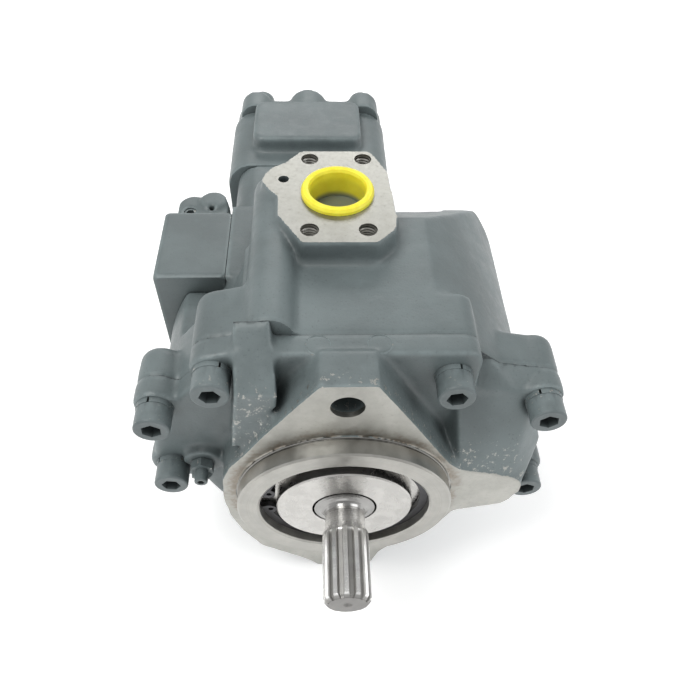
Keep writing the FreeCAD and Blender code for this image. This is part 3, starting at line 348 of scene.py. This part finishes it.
m = Mat("seal_rubber")
MATS["rubber"] = m.out(m.mix(m.ramp(m.noise(3.0, 3.0), 0.3, 0.7), (0.012, 0.012, 0.013), (0.030, 0.030, 0.032)),
                       m.ramp(m.noise(2.0, 3.0), 0.3, 0.7, 0.42, 0.6), 0.0, m.bump(m.noise(0.6, 3.0), 0.02, 0.6))
m = Mat("gasket_fibre")
MATS["gasket"] = m.out(m.mix(m.ramp(m.noise(1.2, 4.0), 0.3, 0.7), (0.055, 0.064, 0.066), (0.10, 0.115, 0.118)),
                       m.ramp(m.noise(2.0, 3.0), 0.3, 0.7, 0.75, 0.9), 0.0, m.bump(m.noise(0.5, 4.0), 0.05, 0.8))
m = Mat("yellow_plastic")
yn = m.noise(6.0, 3.0)
ycol = m.mix(m.ramp(yn, 0.3, 0.7), (0.80, 0.715, 0.035), (0.88, 0.80, 0.06))
# painted shade: darker down the inside walls of the cap
ycol = m.mix(m.ramp(m.z, 98.0, 94.5, 0.0, 0.35), ycol, (0.42, 0.38, 0.02))
ycol = m.mix(m.ramp(m.z, 90.0, 86.3, 0.0, 0.96), ycol, (0.13, 0.152, 0.14))
ycol = m.mix(m.ramp(m.noise(1.4, 3.0, 0.6, offset=(4.0, 4.0, 4.0)), 0.66, 0.74, 0.0, 0.35), ycol, (0.62, 0.52, 0.02))
MATS["yellow"] = m.out(ycol, m.ramp(m.noise(3.0, 3.0), 0.3, 0.7, 0.28, 0.42), 0.0, m.bump(m.math("ADD", m.noise(1.6, 3.0), m.math("MULTIPLY", yn, 0.6)), 0.06, 0.6),
                       Subsurface_Weight=0.12, Subsurface_Scale=0.003)


def dress(obj, key):
    obj.data.materials.clear()
    obj.data.materials.append(MATS[key])


# =========================================================== mesh helpers
def new_object(name, me):
    o = bpy.data.objects.new(name, me)
    SCENE.objects.link(o)
    return o


def applied(obj, mod_type, **kw):
    """Result of one modifier as a new mesh on the same object."""
    md = obj.modifiers.new("m", mod_type)
    for k, v in kw.items():
        setattr(md, k, v)
    dg = bpy.context.evaluated_depsgraph_get()
    dg.update()
    me = bpy.data.meshes.new_from_object(obj.evaluated_get(dg))
    obj.modifiers.clear()
    old = obj.data
    obj.data = me
    bpy.data.meshes.remove(old)
    return obj


def finish_mesh(me, angle=38.0):
    me.validate()
    for p in me.polygons:
        p.use_smooth = True
    me.set_sharp_from_angle(angle=math.radians(angle))
    me.update()


def shell_count(me):
    return len(me.vertices)


def casting(name, node, voxel, passes, planes=(), bores=(), lump=0.16, fine=0.035, strength=0.5):
    """Cast version of a CAD node: every edge softened, low lumps in the skin,
    while machined planes (axis, mm[, test]) and bores (axis, a, b, r, lo, hi)
    keep their exact place."""
    src = NODES[node]
    me = src.data.copy()
    bm = bmesh.new()
    bm.from_mesh(me)
    bmesh.ops.remove_doubles(bm, verts=bm.verts, dist=2e-6)
    bmesh.ops.recalc_face_normals(bm, faces=bm.faces)
    bm.to_mesh(me)
    bm.free()
    me.name = name
    o = new_object(name, me)
    applied(o, "REMESH", mode="VOXEL", voxel_size=voxel * MM, adaptivity=0.0)
    me = o.data
    n = len(me.vertices)
    co = np.empty(n * 3, dtype=np.float64)
    me.vertices.foreach_get("co", co)
    co = co.reshape(n, 3) * 1000.0
    ed = np.empty(len(me.edges) * 2, dtype=np.int64)
    me.edges.foreach_get("vertices", ed)
    ed = ed.reshape(-1, 2)
    a, b = ed[:, 0], ed[:, 1]
    deg = np.bincount(a, minlength=n) + np.bincount(b, minlength=n)
    deg = np.maximum(deg, 1).astype(np.float64)
    ax = {"x": 0, "y": 1, "z": 2}
    pin = []
    fixed = np.zeros(n, bool)
    for p in planes:
        i, v = ax[p[0]], p[1]
        sel = np.abs(co[:, i] - v) < voxel * 0.62
        if len(p) > 2:
            sel &= p[2](co)
        pin.append((sel, i, v))
        fixed |= sel
    rad = []
    for axis, p, q, r, lo, hi in bores:
        i = ax[axis]
        j, k = [t for t in (0, 1, 2) if t != i]
        d = np.hypot(co[:, j] - p, co[:, k] - q)
        sel = (np.abs(d - r) < voxel * 0.75) & (co[:, i] > lo - voxel) & (co[:, i] < hi + voxel)
        rad.append((sel, j, k, p, q, r))
        fixed |= sel

    def hold():
        for sel, i, v in pin:
            co[sel, i] = v
        for sel, j, k, p, q, r in rad:
            dj = co[sel, j] - p
            dk = co[sel, k] - q
            d = np.maximum(np.hypot(dj, dk), 1e-6)
            co[sel, j] = p + dj * r / d
            co[sel, k] = q + dk * r / d

    hold()
    for _ in range(passes):
        s = np.empty_like(co)
        for c in range(3):
            s[:, c] = (np.bincount(a, co[b, c], n) + np.bincount(b, co[a, c], n)) / deg
        co += strength * (s - co)
        hold()
    me.vertices.foreach_set("co", (co / 1000.0).reshape(-1))
    me.update()
    if lump > 0 or fine > 0:
        nr = np.empty(n * 3)
        me.vertex_normals.foreach_get("vector", nr)
        nr = nr.reshape(n, 3)
        free = np.where(~fixed)[0]
        nz = noise.noise
        amp = np.array([lump * nz(Vector(co[i] / 17.0)) + fine * nz(Vector(co[i] / 3.1)) - 0.4 * (lump + fine) * 0.5 for i in free])
        co[free] += nr[free] * amp[:, None]
        hold()
        me.vertices.foreach_set("co", (co / 1000.0).reshape(-1))
    me.update()
    return o


def lathe(name, profile, x=0.0, z=0.0, axis="y", steps=128):
    """Closed solid of revolution from (radius, along) points in mm."""
    vs, fs = [], []
    n = len(profile)
    for i in range(steps):
        t = 2 * math.pi * i / steps
        c, s = math.cos(t), math.sin(t)
        for r, h in profile:
            if axis == "y":
                vs.append(((x + r * c) * MM, h * MM, (z + r * s) * MM))
            else:
                vs.append(((x + r * c) * MM, (z + r * s) * MM, h * MM))
    for i in range(steps):
        j = (i + 1) % steps
        for k in range(n):
            l = (k + 1) % n
            fs.append((i * n + k, i * n + l, j * n + l, j * n + k))
    me = bpy.data.meshes.new(name)
    me.from_pydata(vs, [], fs)
    bm = bmesh.new()
    bm.from_mesh(me)
    bmesh.ops.remove_doubles(bm, verts=bm.verts, dist=1e-7)
    bmesh.ops.recalc_face_normals(bm, faces=bm.faces)
    bm.to_mesh(me)
    bm.free()
    return new_object(name, me)


def boolean(obj, cutter, op="DIFFERENCE"):
    applied(obj, "BOOLEAN", object=cutter, operation=op, solver="EXACT")
    bpy.data.objects.remove(cutter, do_unlink=True)


def thread(name, x, y, z0, z1, r, pitch, depth, axis="z", steps=36):
    """Thread ridge standing in a tapped hole: one closed helical strip."""
    turns = (z1 - z0) / pitch
    n = int(turns * steps)
    vs, fs = [], []
    for i in range(n + 1):
        t = 2 * math.pi * i / steps
        h = z0 + pitch * i / steps
        fade = min(1.0, i / 12.0, (n - i) / 12.0)
        for dr, dh in ((0.02, -0.42 * pitch), (-depth * fade, 0.0), (0.02, 0.42 * pitch)):
            rr = r + dr
            p = (x + rr * math.cos(t), y + rr * math.sin(t), h + dh)
            if axis == "x":
                p = (p[2], p[0], p[1])
            vs.append(tuple(c * MM for c in p))
    for i in range(n):
        for k in range(3):
            l = (k + 1) % 3
            fs.append((i * 3 + k, i * 3 + l, i * 3 + 3 + l, i * 3 + 3 + k))
    fs.append((0, 2, 1))
    fs.append((n * 3, n * 3 + 1, n * 3 + 2))
    me = bpy.data.meshes.new(name)
    me.from_pydata(vs, [], fs)
    bm = bmesh.new()
    bm.from_mesh(me)
    bmesh.ops.recalc_face_normals(bm, faces=bm.faces)
    bm.to_mesh(me)
    bm.free()
    return new_object(name, me)


def join(name, objs):
    bm = bmesh.new()
    for o in objs:
        bm.from_mesh(o.data)
    me = bpy.data.meshes.new(name)
    bm.to_mesh(me)
    bm.free()
    for o in objs:
        bpy.data.objects.remove(o, do_unlink=True)
    return new_object(name, me)


def place(obj, key, body="casing", node=None, angle=38.0):
    finish_mesh(obj.data, angle)
    dress(obj, key)
    if node:
        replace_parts(obj, *node) if isinstance(node, (list, tuple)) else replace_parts(obj, node)
    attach(obj, body)


# ============================================================== castings
SCREWS = [(45.5, 70.5), (88.6, 52.3), (-55.6, 74.2), (-83.6, 49.4), (-83.4, 1.1), (92.2, -9.0)]
REAR = [(-44.0, -54.0), (44.0, -54.0)]


def near(points, reach):
    def test(co):
        ok = np.zeros(len(co), bool)
        for x, z in points:
            ok |= np.hypot(co[:, 0] - x, co[:, 2] - z) < reach
        return ok
    return test


# front cover: casting, with the spigot and its bores as a turned insert
cover = casting("front_cover_casting", "front_cover", 1.0, 9,
                planes=[("y", 0.0), ("y", 28.0), ("y", 17.5, near(SCREWS, 9.4))],
                bores=[("y", 0.0, 73.025, 7.15, 0.0, 22.0), ("y", 0.0, -73.025, 7.15, 0.0, 22.0)])
boolean(cover, lathe("cutter", [(0.0, -20.0), (51.6, -20.0), (51.6, 24.5), (0.0, 24.5)], steps=160))
place(cover, "front", node="front_cover", angle=50.0)
spig = lathe("spigot_turned", [(51.6, 0.0), (50.75, 0.0), (50.3, -0.35), (50.2, -1.2), (50.8, -1.45), (50.8, -8.1), (50.0, -9.0), (41.4, -9.0), (40.4, -8.2), (40.4, -4.2),
                               (42.6, -4.2), (42.6, -1.6), (40.4, -1.6), (40.4, 2.9), (40.0, 3.1), (40.0, 24.0), (26.0, 24.0), (26.0, 24.48), (51.6, 24.48)], steps=192)
place(spig, "spigot", angle=28.0)

house = casting("main_housing_casting", "main_housing", 1.15, 9,
                planes=[("y", 28.4), ("z", 98.0), ("z", -89.0), ("y", 150.0), ("y", 49.5, near(REAR, 9.4)), ("x", -57.5, lambda c: (c[:, 1] > 88))],
                bores=[("z", -2.0, 105.0, 15.0, 62.0, 98.0), ("z", 0.0, 125.0, 9.5, -89.0, -34.0), ("z", -27.6, 115.2, 2.6, 86.0, 98.0)]
                + [("z", -2.0 + sx * 13.1, 105.0 + sy * 26.2, 4.25, 78.0, 98.0) for sx in (-1, 1) for sy in (-1, 1)]
                + [("z", sx * 23.8, 125.0 + sy * 11.1, 4.25, -89.0, -71.0) for sx in (-1, 1) for sy in (-1, 1)])
place(house, "house", node="main_housing", angle=50.0)

RSC = [(y, z) for y in (98.5, 127.5) for z in (-40.0, 50.0)]
reg = casting("regulator_box", "regulator_housing", 1.0, 4, planes=[("x", -93.0), ("x", -57.8), ("y", 88.0), ("y", 137.0)],
              bores=[("x", y, z, 7.2, -93.0, -84.0) for y, z in RSC], lump=0.05, fine=0.02)
place(reg, "boxpaint", node="regulator_housing", angle=45.0)
pvb = casting("pilot_valve_casting", "pilot_valve_block", 0.9, 7, planes=[("y", 137.3)], bores=[("z", -83.0, 150.0, 3.4, 44.0, 50.0)], lump=0.12)
place(pvb, "paint", node="pilot_valve_block", angle=50.0)
ada = casting("rear_adapter_casting", "rear_adapter", 1.3, 6, planes=[("y", 150.0), ("y", 199.8)])
place(ada, "paint", node="rear_adapter", angle=50.0)
gpb = casting("gear_pump_casting", "gear_pump_body", 1.2, 6, planes=[("y", 200.0), ("y", 258.0), ("x", 36.0)], bores=[("x", 232.0, 0.0, 10.2, 20.0, 36.0)])
place(gpb, "paint", node="gear_pump_body", angle=50.0)
gpc = casting("gear_pump_end_casting", "gear_pump_cover", 1.1, 6, planes=[("y", 258.2), ("y", 276.0)])
place(gpc, "paint", node="gear_pump_cover", angle=50.0)

# gasket, drawn in a little from the softened edges of the castings
gk = NODES["joint_gasket"].data.copy()
gko = new_object("joint_gasket_sheet", gk)
for v in gk.vertices:
    v.co.x *= 0.993
    v.co.z *= 0.993
place(gko, "gasket", node="joint_gasket")

# two thin core plugs set into the top of the cover
for i, (x, y) in enumerate([(-11.8, 22.6), (13.7, 22.9)]):
    pl = lathe("core_plug_%d" % (i + 1), [(0.0, 84.9), (4.1, 84.9), (4.6, 85.15), (4.75, 85.45), (5.0, 85.62), (5.35, 85.5), (5.5, 85.2), (5.5, 84.0), (0.0, 84.0)], x, y, axis="z", steps=72)
    place(pl, "paint", angle=45.0)

# threads in the open tapped holes
thr = [thread("t", -2.0 + sx * 13.1, 105.0 + sy * 26.2, 81.0, 96.6, 4.26, 1.5, 0.42) for sx in (-1, 1) for sy in (-1, 1)]
thr += [thread("t", sx * 23.8, 125.0 + sy * 11.1, -87.6, -73.0, 4.26, 1.5, 0.42) for sx in (-1, 1) for sy in (-1, 1)]
place(join("port_threads", thr), "spigot", angle=60.0)
place(thread("outlet_thread", 232.0, 0.0, 21.5, 34.6, 10.22, 1.8, 0.55, axis="x", steps=60), "spigot", angle=60.0)

# =============================================================== materials
KEYS = {"cover_screws": "screwpaint", "screw_lock_washers": "screwpaint", "stop_screw": "screwpaint", "stop_screw_nut": "screwpaint", "regulator_screws": "screwpaint",
        "gear_pump_screws": "screwpaint", "pilot_valve_plug": "screwpaint", "drive_shaft": "splined", "seal_cover": "turned", "shaft_seal": "rubber",
        "retaining_ring": "dark", "suction_port_cap": "yellow", "cylinder_block": "iron", "swash_plate": "iron", "retainer_plate": "hard", "control_piston": "hard",
        "regulator_spool": "hard", "valve_plate": "bronze", "cradle_bearings": "bronze", "gear_bushes": "bronze", "front_bearing_cage": "bronze"}
for n, o in NODES.items():
    if n in KEYS:
        k = KEYS[n]
    elif n.startswith("piston"):
        k = "hard"
    elif n.startswith("slipper"):
        k = "bronze"
    elif "bearing" in n:
        k = "bearing"
    elif "spring" in n:
        k = "spring"
    elif "gear" in n or "ball" in n or "coupling" in n:
        k = "shaft"
    else:
        k = "paint"
    dress(o, k)

# =================================================================== stage
floor_me = bpy.data.meshes.new("floor")
floor_me.from_pydata([(-4, -4, -0.0893), (4, -4, -0.0893), (4, 4, -0.0893), (-4, 4, -0.0893)], [], [(0, 1, 2, 3)])
floor = new_object("floor", floor_me)
fm = bpy.data.materials.new("floor")
fm.use_nodes = True
fb = fm.node_tree.nodes["Principled BSDF"]
fb.inputs["Base Color"].default_value = (0.93, 0.93, 0.93, 1)
fb.inputs["Roughness"].default_value = 0.6
fb.inputs["Specular IOR Level"].default_value = 0.2
fb.inputs["Emission Color"].default_value = (1, 1, 1, 1)
fb.inputs["Emission Strength"].default_value = 0.30
floor_me.materials.append(fm)

w = bpy.data.worlds.new("world")
bpy.context.scene.world = w
w.use_nodes = True
w.node_tree.nodes["Background"].inputs[0].default_value = (1.0, 1.0, 1.0, 1)
wt = w.node_tree
wc = wt.nodes.new("ShaderNodeTexCoord")
ws = wt.nodes.new("ShaderNodeSeparateXYZ")
wr = wt.nodes.new("ShaderNodeMapRange")
wr.interpolation_type = "SMOOTHSTEP"
wr.inputs["From Min"].default_value = 0.12
wr.inputs["From Max"].default_value = 0.75
wr.inputs["To Min"].default_value = 0.78
wr.inputs["To Max"].default_value = 0.42
wt.links.new(wc.outputs["Generated"], ws.inputs[0])
wt.links.new(ws.outputs[2], wr.inputs["Value"])
wt.links.new(wr.outputs["Result"], wt.nodes["Background"].inputs[1])


def area(name, loc, target, size, power, color=(1, 1, 1)):
    ld = bpy.data.lights.new(name, "AREA")
    ld.shape = "RECTANGLE"
    ld.size, ld.size_y = size
    ld.energy = power
    ld.color = color
    lo = bpy.data.objects.new(name, ld)
    SCENE.objects.link(lo)
    d = Vector(target) - Vector(loc)
    lo.matrix_world = Matrix.Translation(Vector(loc)) @ d.to_track_quat("-Z", "Y").to_matrix().to_4x4()


area("key", (-0.45, -0.10, 1.05), (0.0, 0.06, 0.0), (0.55, 0.55), 8.0, (1.0, 0.995, 0.98))
area("fill", (0.95, -0.20, 0.70), (0.0, 0.08, 0.0), (0.5, 0.8), 3.5, (0.98, 0.99, 1.0))
area("front", (-0.25, -0.95, 0.22), (0.0, 0.0, 0.0), (0.8, 0.25), 0.5)
area("back", (0.1, 1.1, 0.75), (0.0, 0.1, 0.0), (0.9, 0.35), 4.0)
